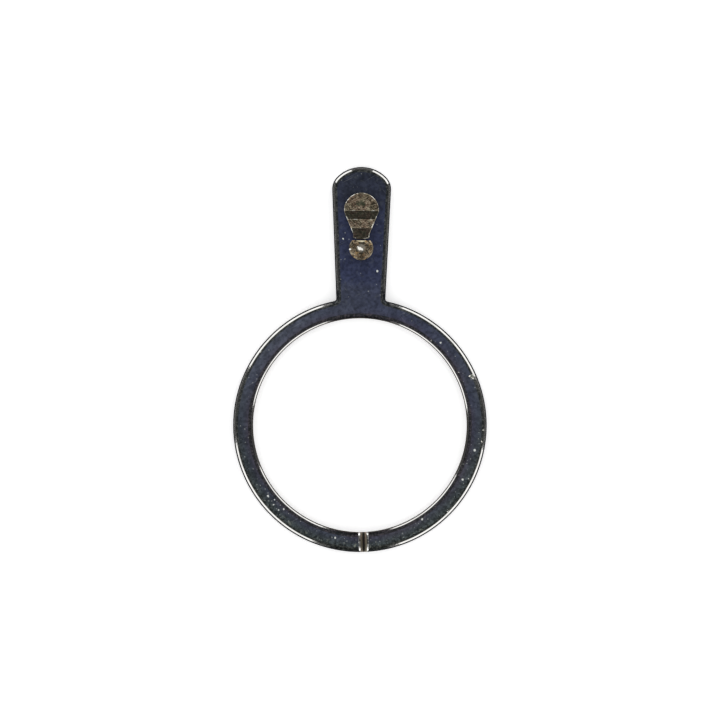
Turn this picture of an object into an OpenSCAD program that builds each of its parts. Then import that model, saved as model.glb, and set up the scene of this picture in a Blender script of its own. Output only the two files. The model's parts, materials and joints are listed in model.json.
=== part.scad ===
// Watch regulator (index): an elastic split ring with an arm, a turning boot and a curb pin.
// Millimetres. The ring's centre is the origin, the back face lies on z = 0, the arm points
// along +Y, and +Z is the side that faces the hairspring.

/* [Index plate] */
// Thickness of the plate
plate_t = 0.25; // [0.2:0.01:0.4]
// Bore of the ring, which grips the cap jewel setting
ring_bore = 3.37; // [2.8:0.01:3.6]
// Width of the ring's band, from bore to outside
ring_band = 0.314; // [0.26:0.002:0.4]
// Radius of the rounded edge on the hairspring side
edge_round = 0.088; // [0.03:0.002:0.12]
// From the ring's centre to the tip of the arm
arm_reach = 4.07; // [3.95:0.01:4.6]
// Width of the arm where it leaves the ring
arm_root_w = 0.772; // [0.7:0.002:0.86]
// Width of the arm at its shoulders, where its sides would meet the round tip
arm_shoulder_w = 0.936; // [0.88:0.002:1]
// Radius of the arm's round tip
arm_tip_r = 0.545; // [0.52:0.005:0.65]
// Radius that blends each side of the arm into the tip
shoulder_r = 0.27; // [0.1:0.01:0.4]
// Radius of the inside corner between the arm and the ring
root_fillet = 0.04; // [0.02:0.005:0.1]

/* [Split] */
// Gap of the split at rest
split_gap = 0.018; // [0.012:0.002:0.06]
// Turn of the split from the point opposite the arm, in degrees
split_turn = 2.2; // [-10:0.1:10]
// Width of the bevelled groove above the split
groove_w = 0.11; // [0.08:0.005:0.16]
// Depth of the bevelled groove
groove_depth = 0.13; // [0.06:0.01:0.16]
// Radius of the rounded lips of the groove
lip_round = 0.035; // [0.015:0.005:0.05]

/* [Hairspring passage] */
// Radius of the hairspring's outer coil where it passes the boot
spring_r = 3.0015; // [2.9:0.0005:3.1]
// Width of the passage, from the boot's wall to the flat of the pin
passage_w = 0.189; // [0.12:0.001:0.22]
// Height of the passage, from the plate to the foot of the boot
passage_h = 0.21; // [0.15:0.01:0.26]

/* [Boot] */
// Height of the boot's head above the plate
boot_h = 0.42; // [0.4:0.01:0.55]
// Diameter of the boot's round head
head_d = 0.544; // [0.5:0.002:0.58]
// Bevel on the rim of the round head
head_bevel = 0.015; // [0.005:0.001:0.03]
// From the turning axis to the centre of the round head
head_offset = 0.076; // [0.04:0.002:0.1]
// From the turning axis to the wall that the hairspring passes
wall_offset = 0.209; // [0.17:0.001:0.23]
// Width between the head's cheeks, where they start to taper
cheek_w = 0.45; // [0.4:0.01:0.48]
// From the turning axis to the place where the cheeks start to taper
cheek_offset = 0.06; // [0.03:0.005:0.1]
// Width of the foot
foot_w = 0.252; // [0.2:0.002:0.3]
// From the turning axis to the place where the taper ends in the foot
neck_offset = 0.3; // [0.26:0.005:0.34]
// Step from the head's flat land down to the top of the foot
foot_step = 0.07; // [0.04:0.01:0.09]
// Clearance between the tip of the foot and the flat of the pin
foot_clear = 0.02; // [0.015:0.001:0.04]
// Width of the screwdriver slot
slot_w = 0.126; // [0.08:0.002:0.15]
// Depth of the screwdriver slot
slot_depth = 0.11; // [0.06:0.01:0.18]
// Diameter of the shank that turns in the plate
shank_d = 0.3; // [0.2:0.01:0.34]
// Diameter of the riveted end of the shank
rivet_d = 0.44; // [0.4:0.01:0.5]
// Height of the riveted end, sunk in the back of the plate
rivet_h = 0.08; // [0.05:0.01:0.12]
// Running clearance all round the shank and the riveted end
shank_clear = 0.012; // [0.01:0.001:0.02]
// Clearance between the head and the plate
head_clear = 0.01; // [0.005:0.001:0.02]

/* [Curb pin] */
// Diameter of the pin
pin_d = 0.378; // [0.34:0.002:0.42]
// From the pin's axis to its flat
pin_flat = 0.121; // [0.09:0.001:0.16]
// Height of the pin above the plate, at the top of its dome
pin_h = 0.4; // [0.32:0.01:0.5]
// Height of the pin's domed end
dome_h = 0.07; // [0.03:0.01:0.1]
// Diameter of the tail that is pressed into the plate
tail_d = 0.2; // [0.14:0.01:0.28]
// Diameter of the tail's riveted end
tail_rivet_d = 0.29; // [0.24:0.01:0.36]
// Height of the tail's riveted end
tail_rivet_h = 0.05; // [0.03:0.01:0.08]

/* [Hidden] */
$fn = 96;

// How far a cut runs past the face that it opens
past = 0.05;
// Steps in a small arc that is drawn as a row of points
arc_steps = 6;
// Flats that blend each shoulder of the arm
shoulder_flats = 2;

bore_r = ring_bore / 2;
ring_r = bore_r + ring_band;
mid_r = bore_r + ring_band / 2;
// The rounded edge never takes more than a third of the band, or half of the thickness
edge = min(edge_round, ring_band / 3, plate_t / 2);

root_y = sqrt(pow(ring_r, 2) - pow(arm_root_w / 2, 2));
tip_centre = [0, arm_reach - arm_tip_r];
shoulder_y = tip_centre[1] + sqrt(pow(arm_tip_r, 2) - pow(arm_shoulder_w / 2, 2));
taper = atan((arm_shoulder_w - arm_root_w) / 2 / (shoulder_y - root_y));
// The arm's right side starts at the ring, runs along one direction and faces across it
side_start = [arm_root_w / 2, root_y];
side_along = [sin(taper), cos(taper)];
side_across = [cos(taper), -sin(taper)];
shoulder_centre = on_side(-shoulder_r, tip_centre, arm_tip_r - shoulder_r);
shoulder_angle = atan2(shoulder_centre[1] - tip_centre[1], shoulder_centre[0]);

boot_y = spring_r + passage_w / 2 + wall_offset;
foot_reach = wall_offset + passage_w - foot_clear;
pin_face = spring_r - passage_w / 2;
pin_y = pin_face - pin_flat;
dome_r = (pow(pin_d / 2, 2) + pow(dome_h, 2)) / (2 * dome_h);

// Points of an arc about centre c, from angle a to angle b
function arc(c, r, a, b) =
    [for (i = [0:arc_steps]) let (t = a + (b - a) * i / arc_steps) c + r * [cos(t), sin(t)]];

// Centre of a round that lies off from the arm's right side, at distance d from point c
function on_side(off, c, d) =
    let (start = side_start + off * side_across, v = start - c, b = v * side_along)
    start + (sqrt(b * b - v * v + d * d) - b) * side_along;

// Section of a plate edge: the face is at x = 0, the plate lies to -x and is w wide
module rounded_edge(w) {
    difference() {
        translate([-w, 0]) square([w, plate_t]);
        difference() {
            translate([-edge, plate_t - edge]) square(edge + past);
            translate([-edge, plate_t - edge]) circle(edge);
        }
    }
}

// Half-plate that lies to -x of its straight edge, with the edge rounded
module half_plate() {
    translate([0, 2 * arm_reach])
        rotate([90, 0, 0])
            linear_extrude(4 * arm_reach) rounded_edge(2 * arm_reach);
}

// Everything within the right side of the arm, which leans outwards by the taper, and within
// the flats that blend its shoulder into the tip
module right_side() {
    intersection() {
        translate(side_start) rotate(-taper) half_plate();
        intersection_for(i = [1:shoulder_flats])
            translate(shoulder_centre)
                rotate(-taper + (shoulder_angle + taper) * i / (shoulder_flats + 1))
                    translate([shoulder_r, 0]) half_plate();
    }
}

// Disc with a rounded edge that shapes the tip of the arm
module tip_disc() {
    translate(tip_centre)
        rotate_extrude()
            intersection() {
                translate([arm_tip_r, 0]) rounded_edge(2 * arm_tip_r);
                square([arm_tip_r, plate_t]);
            }
}

// The tapered arm, from the middle of the ring's band to its round tip
module arm() {
    difference() {
        intersection() {
            right_side();
            mirror([1, 0, 0]) right_side();
            union() {
                tip_disc();
                translate([-arm_shoulder_w, 0]) cube([2 * arm_shoulder_w, tip_centre[1], plate_t]);
            }
        }
        translate([0, 0, -past]) cylinder(r = mid_r, h = plate_t + 2 * past);
    }
}

// Web that rounds the inside corner on the right of the arm, below the rounded edges
module root_web() {
    centre = on_side(root_fillet, [0, 0], ring_r + root_fillet);
    on_arm = centre - root_fillet * side_across;
    on_ring = centre * ring_r / (ring_r + root_fillet);
    linear_extrude(plate_t - edge)
        difference() {
            polygon([on_arm, on_arm - edge * side_across, on_ring * mid_r / ring_r, on_ring]);
            translate(centre) circle(root_fillet);
        }
}

// Section of the split: a narrow gap below a groove with bevelled flanks and rounded lips
module split_section() {
    floor_z = plate_t - groove_depth;
    lean = atan((groove_w - split_gap) / 2 / groove_depth);
    turn = 90 - lean;
    lip_x = groove_w / 2 + lip_round * tan(turn / 2);
    lip = arc([lip_x, plate_t - lip_round], lip_round, 90, 90 + turn);
    right = concat([[split_gap / 2, -past], [split_gap / 2, floor_z]],
                   [for (i = [arc_steps:-1:0]) lip[i]],
                   [[lip_x, plate_t + past]]);
    left = [for (i = [len(right) - 1:-1:0]) [-right[i][0], right[i][1]]];
    polygon(concat(right, left));
}

// Steel plate in one piece: split ring and arm, with a hole for the boot and one for the pin
module index_plate() {
    color("midnightblue")
        difference() {
            union() {
                rotate_extrude()
                    intersection() {
                        translate([ring_r, 0]) rounded_edge(ring_band);
                        translate([bore_r, 0]) mirror([1, 0]) rounded_edge(ring_band);
                    }
                arm();
                root_web();
                mirror([1, 0, 0]) root_web();
            }
            rotate(split_turn)
                translate([0, past - bore_r])
                    rotate([90, 0, 0])
                        linear_extrude(ring_band + 2 * past) split_section();
            translate([0, boot_y]) riveted_shaft(shank_d, rivet_d, rivet_h, shank_clear, past);
            translate([0, pin_y]) riveted_shaft(tail_d, tail_rivet_d, tail_rivet_h, 0, past);
        }
}

// Shaft through the plate with a cone-shaped riveted end, or the hole for one.
// The clearance c goes all round, and the shaft runs p past both faces of the plate.
module riveted_shaft(d, end_d, end_h, c, p) {
    translate([0, 0, -p]) cylinder(d = d + 2 * c, h = plate_t + 2 * p);
    cylinder(d1 = end_d + 2 * c, d2 = d + 2 * c, h = end_h);
}

// Outline of the boot below its head, with the turning axis at the origin: the cheeks taper
// towards -y to the foot, whose tip is round about the axis
module cheeks_and_foot() {
    right = [[cheek_w / 2, -cheek_offset], [foot_w / 2, -neck_offset], [foot_w / 2, -foot_reach]];
    left = [for (i = [2:-1:0]) [-right[i][0], right[i][1]]];
    intersection() {
        polygon(concat(right, left));
        circle(foot_reach);
    }
}

// Round head with a bevelled rim, from height z0 to z1
module round_head(z0, z1) {
    rim_z = z1 - head_bevel;
    translate([0, head_offset, z0]) cylinder(d = head_d, h = rim_z - z0);
    translate([0, head_offset, rim_z])
        cylinder(d1 = head_d, d2 = head_d - 2 * head_bevel, h = head_bevel);
}

// Brass boot: slotted head on the plate, foot that bridges the hairspring, riveted shank
module boot() {
    head_z = plate_t + head_clear;
    foot_z = plate_t + passage_h;
    top_z = plate_t + boot_h;
    color("darkgoldenrod")
        translate([0, boot_y])
            difference() {
                union() {
                    intersection() {
                        union() {
                            round_head(head_z, top_z);
                            translate([0, 0, head_z])
                                linear_extrude(top_z - head_z) cheeks_and_foot();
                        }
                        translate([-head_d, -wall_offset]) cube([2 * head_d, 2 * head_d, 2 * top_z]);
                    }
                    translate([0, 0, foot_z])
                        linear_extrude(top_z - foot_step - foot_z) cheeks_and_foot();
                    riveted_shaft(shank_d, rivet_d, rivet_h, 0, 0);
                    translate([0, 0, plate_t]) cylinder(d = shank_d, h = 2 * head_clear);
                }
                translate([-head_d, -slot_w / 2, top_z - slot_depth])
                    cube([2 * head_d, slot_w, slot_depth + past]);
            }
}

// Brass curb pin: domed D-shaped head with its flat towards the boot, tail riveted flush
module curb_pin() {
    color("peru")
        translate([0, pin_y]) {
            intersection() {
                translate([0, 0, plate_t]) cylinder(d = pin_d, h = pin_h);
                translate([-pin_d, -pin_d, plate_t]) cube([2 * pin_d, pin_d + pin_flat, pin_h]);
                translate([0, 0, plate_t + pin_h - dome_r]) sphere(dome_r);
            }
            riveted_shaft(tail_d, tail_rivet_d, tail_rivet_h, 0, 0);
        }
}

index_plate();
boot();
curb_pin();
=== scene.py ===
# %% [markdown]
# # A watch regulator: split ring, arm, turning boot and curb pin
#
# The regulator is the small lever that sets the rate of a mechanical watch. Its split ring grips
# the cap jewel setting, and its arm carries two brass pieces that hold the hairspring between them.
#
# This lesson takes the measured construction of the three pieces as a fixed frame, and gives them
# the surfaces that a close look needs: a polished, rounded edge on blued steel, a sawn split, and
# worn, tarnished brass. The pieces are only a few millimetres long, so all shapes are worked out
# in millimetres and brought to metres at the end.

import json
import math

import bmesh
import bpy
from mathutils import Matrix, Vector


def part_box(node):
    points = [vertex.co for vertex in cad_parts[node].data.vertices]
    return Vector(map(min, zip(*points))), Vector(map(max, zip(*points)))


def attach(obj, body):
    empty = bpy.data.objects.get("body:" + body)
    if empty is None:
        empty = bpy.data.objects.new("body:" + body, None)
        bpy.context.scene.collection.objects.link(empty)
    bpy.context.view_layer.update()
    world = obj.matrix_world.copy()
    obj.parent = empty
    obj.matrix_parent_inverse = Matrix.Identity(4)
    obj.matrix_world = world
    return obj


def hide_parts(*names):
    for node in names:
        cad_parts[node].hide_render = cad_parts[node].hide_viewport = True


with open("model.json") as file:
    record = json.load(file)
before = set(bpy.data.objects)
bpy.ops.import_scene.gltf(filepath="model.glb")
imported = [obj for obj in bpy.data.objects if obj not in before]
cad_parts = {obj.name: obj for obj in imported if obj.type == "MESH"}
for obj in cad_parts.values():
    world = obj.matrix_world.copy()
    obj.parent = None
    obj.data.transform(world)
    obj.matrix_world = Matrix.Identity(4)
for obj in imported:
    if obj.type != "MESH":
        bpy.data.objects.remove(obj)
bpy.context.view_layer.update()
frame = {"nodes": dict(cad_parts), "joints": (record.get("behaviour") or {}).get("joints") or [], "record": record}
print("nodes:", sorted(frame["nodes"]))

# %% [markdown]
# ## Measures
#
# What the frame can tell is read from it: the boxes of the three nodes, the bore, the place of the
# hairspring and the boot's axis. Boxes say little about forms, so the maker's own sizes, such as
# the taper of the arm or the width of a slot, are given where each piece is made.

# %% Measures from the frame, in millimetres
MM = 0.001


def box_mm(node):
    low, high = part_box(node)
    return low / MM, high / MM


mounts = {mount["name"]: mount for mount in frame["record"]["mounts"]}
joints = {joint["name"]: joint for joint in frame["joints"]}
plate_low, plate_high = box_mm("index_plate")
boot_low, boot_high = box_mm("boot")
pin_low, pin_high = box_mm("curb_pin")

ring_r = min(-plate_low.x, plate_high.x, -plate_low.y)
bore_r = mounts["ring_bore"]["dims"]["r_mm"]
plate_t = plate_high.z
arm_reach = plate_high.y
edge_w = plate_t - mounts["ring_bore"]["dims"]["length_mm"]
spring_r = mounts["hairspring_passage"]["pos_m"][1] / MM
boot_y = joints["boot_turn"]["pos_m"][1] / MM
print(f"ring {2 * ring_r:.3f} mm outside, bore {2 * bore_r:.3f} mm, edge {edge_w:.3f} mm wide")

# %% [markdown]
# ## Drawing an outline with a pen
#
# A stamped part is all straight lines and arcs that meet smoothly. Typing in its points would hide
# that, so the outline is drawn as one would with a compass: a single vertex is the pen, extruding
# it draws a line, and spinning it about a centre draws an arc.

# %% The pen
UP = Vector((0, 0, 1))
TOUCHING = 1e-5


def verts_of(geometry):
    return [item for item in geometry if isinstance(item, bmesh.types.BMVert)]


def pen_down(bm, point):
    return bm.verts.new((*point, 0))


def pen_line(bm, pen, *points):
    for point in points:
        pen = bmesh.ops.extrude_vert_indiv(bm, verts=[pen])["verts"][0]
        pen.co = (*point, 0)
    return pen


def pen_arc(bm, pen, centre, turn, step):
    """Sweep the pen round a centre by a signed turn in degrees, with a vertex at each step."""
    swept = bmesh.ops.spin(
        bm, geom=[pen], cent=(*centre, 0), axis=UP, angle=math.radians(turn),
        steps=math.ceil(abs(turn) / step),
    )
    return verts_of(swept["geom_last"])[0]


def mirror_right_half(bm):
    """Complete a half outline, which runs from one point on x = 0 to another."""
    other_half = bmesh.ops.duplicate(bm, geom=bm.verts[:] + bm.edges[:])["geom"]
    bmesh.ops.scale(bm, verts=verts_of(other_half), vec=(-1, 1, 1))
    bmesh.ops.remove_doubles(bm, verts=bm.verts, dist=TOUCHING)


# %% [markdown]
# ## Solids from outlines
#
# Nearly every solid here starts as an outline that is filled and raised, or as a half section that
# is turned about the Z axis, as on a lathe. The lathe can be told to stop at some angles, so that
# a row of vertices stands exactly where a flat will start.

# %% Raise and turn
# Degrees from one row of vertices to the next on a turned piece
LATHE_STEP = 4


def raise_outline(bm, height):
    """Fill a closed outline and raise it to a solid."""
    bmesh.ops.triangle_fill(bm, use_beauty=True, edges=bm.edges[:], normal=UP)
    raised = bmesh.ops.extrude_face_region(bm, geom=bm.faces[:])["geom"]
    bmesh.ops.translate(bm, verts=verts_of(raised), vec=UP * height)
    bmesh.ops.recalc_face_normals(bm, faces=bm.faces)


def lathe(draw_section, stops=(0, 360)):
    """Turn a half section, drawn as radius and height, passing through the given angles."""
    bm = bmesh.new()
    draw_section(bm)
    upright = Matrix.Rotation(math.radians(stops[0]), 3, "Z")
    upright = upright @ Matrix.Rotation(math.radians(90), 3, "X")
    bmesh.ops.rotate(bm, verts=bm.verts, matrix=upright)
    swept = bm.verts[:] + bm.edges[:]
    for start, stop in zip(stops, stops[1:]):
        swept = bmesh.ops.spin(
            bm, geom=swept, cent=(0, 0, 0), axis=UP, angle=math.radians(stop - start),
            steps=math.ceil((stop - start) / LATHE_STEP), use_merge=stop - start == 360,
        )["geom_last"]
    bmesh.ops.remove_doubles(bm, verts=bm.verts, dist=TOUCHING)
    bmesh.ops.recalc_face_normals(bm, faces=bm.faces)
    return bm


def box(low, high):
    bm = bmesh.new()
    bmesh.ops.create_cube(bm, size=1)
    low, high = Vector(low), Vector(high)
    bmesh.ops.scale(bm, verts=bm.verts, vec=high - low)
    bmesh.ops.translate(bm, verts=bm.verts, vec=(low + high) / 2)
    return bm


# %% [markdown]
# Cutting and joining is done to objects, because the Boolean is a modifier. The faces that a cutter
# leaves take its material, so a sawn wall gets its own finish without any picking of faces. The
# exact solver leaves a few points on top of each other, and leaves them all in no fixed order. So
# after each cut the points are merged and everything is sorted, and every run makes the same piece.

# %% Cut and join
# Points that lie closer than this are merged after a cut
CUT_LITTER = 1e-4


def put_in_scene(name, data):
    made = bpy.data.objects.new(name, data)
    bpy.context.scene.collection.objects.link(made)
    return made


def solid(name, bm, *materials):
    mesh = bpy.data.meshes.new(name)
    bm.to_mesh(mesh)
    bm.free()
    for material in materials:
        mesh.materials.append(material)
    return put_in_scene(name, mesh)


def rounded_place(vert):
    return [round(x, 5) for x in vert.co]


def corner_numbers(part):
    return sorted(vert.index for vert in part.verts)


def in_order(parts, key):
    for number, part in enumerate(sorted(parts, key=key)):
        part.index = number
    parts.sort()


def weld(mesh):
    bm = bmesh.new()
    bm.from_mesh(mesh)
    in_order(bm.verts, rounded_place)
    bmesh.ops.remove_doubles(bm, verts=bm.verts, dist=CUT_LITTER)
    in_order(bm.verts, rounded_place)
    in_order(bm.edges, corner_numbers)
    in_order(bm.faces, corner_numbers)
    bm.to_mesh(mesh)
    bm.free()


def combine(piece, other, operation):
    """Cut the other solid from the piece, or join it to the piece, and use it up."""
    boolean = piece.modifiers.new("combine", "BOOLEAN")
    boolean.object = other
    boolean.operation = operation
    boolean.solver = "EXACT"
    boolean.material_mode = "TRANSFER"
    depsgraph = bpy.context.evaluated_depsgraph_get()
    combined = bpy.data.meshes.new_from_object(piece.evaluated_get(depsgraph))
    piece.modifiers.clear()
    piece.data = combined
    combined.name = piece.name
    bpy.data.objects.remove(other)
    weld(combined)


def cut(piece, cutter, *materials):
    combine(piece, solid("cutter", cutter, *materials), "DIFFERENCE")


# %% [markdown]
# ## The finish of a piece
#
# Real edges are never razor sharp. After the cuts each outer corner of the brass gets a small
# bevel, which catches the light. A vertex attribute, `worn`, notes the middle of the bevel, so
# that the material can rub the corners and leave the faces alone.

# %% Soften the corners
SHARP = math.radians(35)


def soften_edges(piece, width, above):
    """Bevel the outer corners above a height, and note where the piece will be worn."""
    bm = bmesh.new()
    bm.from_mesh(piece.data)
    bmesh.ops.dissolve_limit(
        bm, angle_limit=math.radians(0.05), verts=bm.verts[:], edges=bm.edges[:],
        use_dissolve_boundaries=False, delimit={"MATERIAL"},
    )
    corners = [
        edge for edge in bm.edges
        if edge.is_manifold and edge.is_convex and edge.calc_face_angle() > SHARP
        and all(vert.co.z > above for vert in edge.verts)
    ]
    rounded = set(bmesh.ops.bevel(
        bm, geom=corners, offset=width, offset_type="OFFSET", segments=3, profile=0.5,
        affect="EDGES", clamp_overlap=False, material=-1,
    )["faces"])
    worn = bm.verts.layers.float.new("worn")
    for vert in bm.verts:
        vert[worn] = float(all(face in rounded for face in vert.link_faces))
    bm.to_mesh(piece.data)
    bm.free()
    print(f"{piece.name}: {len(corners)} edges softened by {width} mm")


# %% [markdown]
# The last steps are the same for every piece. A second attribute, `tilt`, goes from 0 on the face
# to 1 on a wall, and shows the materials where the edge was polished. The piece is shaded smooth
# with weighted normals, so that flat faces stay flat up to the bevel. Then it is brought to metres
# and rides on its body in place of the plain solid.

# %% Shade and hand in a piece
def finish_piece(piece, body, node):
    """Note the tilt, shade the piece, bring it to metres and tie it to the frame."""
    mesh = piece.data
    bm = bmesh.new()
    bm.from_mesh(mesh)
    bmesh.ops.triangulate(bm, faces=[face for face in bm.faces if len(face.verts) > 4])
    tilt = bm.verts.layers.float.new("tilt")
    for vert in bm.verts:
        flattest = max(face.normal.z for face in vert.link_faces)
        vert[tilt] = math.acos(min(1.0, max(0.0, flattest))) / math.radians(90)
    for edge in bm.edges:
        edge.smooth = edge.is_manifold and edge.calc_face_angle() < SHARP
    for face in bm.faces:
        face.smooth = True
    bmesh.ops.scale(bm, verts=bm.verts, vec=(MM, MM, MM))
    open_edges = sum(not edge.is_manifold for edge in bm.edges)
    bm.to_mesh(mesh)
    bm.free()
    weighted = piece.modifiers.new("weighted_normals", "WEIGHTED_NORMAL")
    weighted.keep_sharp = True
    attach(piece, body)
    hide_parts(node)
    print(f"{piece.name}: {len(mesh.polygons)} faces, {open_edges} open edges")


# %% [markdown]
# ## A kit for materials
#
# Seven metal finishes and the paper under them are worth a small kit. It starts a Principled
# material and adds nodes to it by short calls: arithmetic, a smooth step, a mix of two values and a
# blend of two colours. Each call gives back an output for the next one, so a finish reads from top
# to bottom, as it is laid on.

# %% Nodes in short calls
def is_socket(value):
    return isinstance(value, bpy.types.NodeSocket)


class NodeKit:
    """A material in the making. `shader` holds the sockets of its Principled node."""

    def __init__(self, name):
        self.material = bpy.data.materials.new(name)
        self.material.use_nodes = True
        self.tree = self.material.node_tree
        self.shader = self.tree.nodes["Principled BSDF"].inputs

    def link(self, socket, output):
        self.tree.links.new(output, self.shader[socket])

    def add(self, kind, inputs, **settings):
        node = self.tree.nodes.new(kind)
        for name, value in settings.items():
            setattr(node, name, value)
        for name, value in inputs.items():
            if is_socket(value):
                self.tree.links.new(value, node.inputs[name])
            else:
                node.inputs[name].default_value = value
        return node

    def attribute(self, name):
        return self.add("ShaderNodeAttribute", {}, attribute_name=name).outputs["Fac"]

    def math(self, operation, first, second=0.0):
        return self.add("ShaderNodeMath", {0: first, 1: second}, operation=operation).outputs[0]

    def times(self, first, second):
        return self.math("MULTIPLY", first, second)

    def either(self, first, second):
        """The stronger of two masks."""
        return self.math("MAXIMUM", first, second)

    def vector_math(self, operation, first, second=(0, 0, 0)):
        """Give back the node, which has both a vector and a value to offer."""
        return self.add("ShaderNodeVectorMath", {0: first, 1: second}, operation=operation)

    def step(self, value, low, high, start=0.0, stop=1.0):
        """A smooth step from start to stop while the value goes from low to high."""
        return self.add(
            "ShaderNodeMapRange",
            {"Value": value, "From Min": low, "From Max": high, "To Min": start, "To Max": stop},
            interpolation_type="SMOOTHSTEP",
        ).outputs["Result"]

    def between(self, value, rise, fall):
        """1 where the value lies between two soft limits, each given as low and high."""
        return self.times(self.step(value, *rise), self.step(value, *fall, 1, 0))

    def mix(self, factor, first, second):
        """A value between two others, for a factor from 0 to 1."""
        return self.add("ShaderNodeMix", {0: factor, 2: first, 3: second}).outputs[0]

    def blend(self, factor, first, second):
        """A colour between two others, for a factor from 0 to 1."""
        first, second = (
            color if is_socket(color) else (*color, 1) for color in (first, second)
        )
        inputs = {0: factor, 6: first, 7: second}
        return self.add("ShaderNodeMix", inputs, data_type="RGBA").outputs[2]

    def dimmed(self, color, level):
        scaled = self.add("ShaderNodeVectorMath", {0: color, "Scale": level}, operation="SCALE")
        return scaled.outputs[0]

    def shaded(self, color, value, low, high):
        """The colour, darkened or lightened as a value goes from 0.3 to 0.7."""
        return self.dimmed(color, self.step(value, 0.3, 0.7, low, high))


# %% [markdown]
# They read Object coordinates scaled to millimetres, so the size of a speck is written as it would
# be measured on the part. A hairline is a noise that is drawn out along one direction and cut off
# high up. Spots come from the cells of a Voronoi texture, of which a share is lit while the rest
# stay clean. A noise would give clouds.

# %% Patterns on metal
def direction(azimuth):
    """The level direction at an azimuth in degrees, from +X towards +Y."""
    return Vector((math.cos(math.radians(azimuth)), math.sin(math.radians(azimuth)), 0))


class Paint(NodeKit):
    """A metal finish in the making. Its place, x, y, z and all sizes are in millimetres."""

    def __init__(self, name):
        super().__init__(name)
        self.shader["Metallic"].default_value = 1
        objects = self.add("ShaderNodeTexCoord", {}).outputs["Object"]
        to_mm = {"Vector": objects, "Scale": (1 / MM, 1 / MM, 1 / MM)}
        self.place = self.add("ShaderNodeMapping", to_mm).outputs[0]
        self.x, self.y, self.z = self.add("ShaderNodeSeparateXYZ", {0: self.place}).outputs

    def noise(self, per_mm, detail=2.0, vector=None, distortion=0.0):
        inputs = {"Vector": vector or self.place, "Scale": per_mm, "Detail": detail,
                  "Distortion": distortion}
        return self.add("ShaderNodeTexNoise", inputs).outputs["Fac"]

    def spots(self, per_mm, size, share):
        """Small ragged spots. Of the cells, `per_mm` to a millimetre, a share holds a spot."""
        ragged = self.add(
            "ShaderNodeTexNoise", {"Vector": self.place, "Scale": 0.8 / size, "Detail": 1.0}
        ).outputs["Color"]
        moved = self.vector_math("MULTIPLY", ragged, (size, size, size)).outputs[0]
        moved = self.vector_math("ADD", self.place, moved).outputs[0]
        cells = self.add(
            "ShaderNodeTexVoronoi", {"Vector": moved, "Scale": per_mm}, voronoi_dimensions="2D"
        )
        chance = self.add("ShaderNodeSeparateColor", {"Color": cells.outputs["Color"]}).outputs
        reach = self.step(chance[1], 0, 1, 0.3 * size * per_mm, 0.7 * size * per_mm)
        inside = self.math("LESS_THAN", cells.outputs["Distance"], reach)
        return self.times(inside, self.math("LESS_THAN", chance[0], share))

    def on_grid(self, centre, turn, scale):
        """Places on a grid with a centre, a turn in degrees and a size along each axis."""
        return self.add(
            "ShaderNodeMapping",
            {"Vector": self.place, "Location": (*centre, 0),
             "Rotation": (0, 0, math.radians(turn)), "Scale": scale},
            vector_type="TEXTURE",
        ).outputs[0]

    def stretched(self, turn, length, width):
        """Places for a pattern that is drawn out along a direction."""
        return self.on_grid((0, 0), turn, (length, width, width))

    def hairlines(self, turn, length, width, limit):
        lines = self.noise(1, 1.0, self.stretched(turn, length, width))
        return self.step(lines, limit, limit + 0.06)

    def radius(self, place=None):
        """How far a place lies from the Z axis. Without one, it is the place on the piece."""
        flat = self.vector_math("MULTIPLY", place or self.place, (1, 1, 0)).outputs[0]
        return self.vector_math("LENGTH", flat).outputs["Value"]

    def oval(self, centre, turn, half_length, half_width):
        """How far the place lies from the middle of an oval, seen from above: 1 on its rim."""
        return self.radius(self.on_grid(centre, turn, (half_length, half_width, 1)))

    def toward(self, azimuth):
        """How far the place lies in some direction from the middle of the ring."""
        return self.vector_math("DOT_PRODUCT", self.place, direction(azimuth)).outputs["Value"]

    def finish(self, color, roughness, height, depth):
        relief = self.add("ShaderNodeBump", {"Height": height, "Distance": depth * MM})
        self.link("Base Color", color)
        self.link("Roughness", roughness)
        self.link("Normal", relief.outputs[0])
        print(f"{self.material.name}: {len(self.tree.nodes)} nodes")
        return self.material


# %% [markdown]
# ## Blued steel
#
# Blueing is a thin oxide that grows on polished steel when it is heated, and its colour depends
# on the heat at each spot. Here the tip is nearly black, the arm is navy, and the ring goes to
# slate with navy patches. Its outer half turns to grey-green, most of all low down, where the
# oxide is thin, and there is a breath of plum beside the bore.
#
# One colour ramp along the part would give stripes. So each colour is laid over the last one
# through its own soft mask, and a cloudy noise makes the borders wander.

# %% Heat colours of the face
DARK_TIP = (0.025, 0.029, 0.043)
NAVY = (0.030, 0.036, 0.070)
SLATE = (0.045, 0.051, 0.071)
GREY_GREEN = (0.036, 0.044, 0.044)
PLUM = (0.056, 0.042, 0.056)
RING_PATCHES = (
    # azimuth from the middle of the ring, and colour
    (130, (0.070, 0.078, 0.106)),
    (-45, (0.058, 0.066, 0.078)),
    (214, (0.028, 0.034, 0.051)),
    (65, (0.043, 0.049, 0.083)),
)


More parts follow.
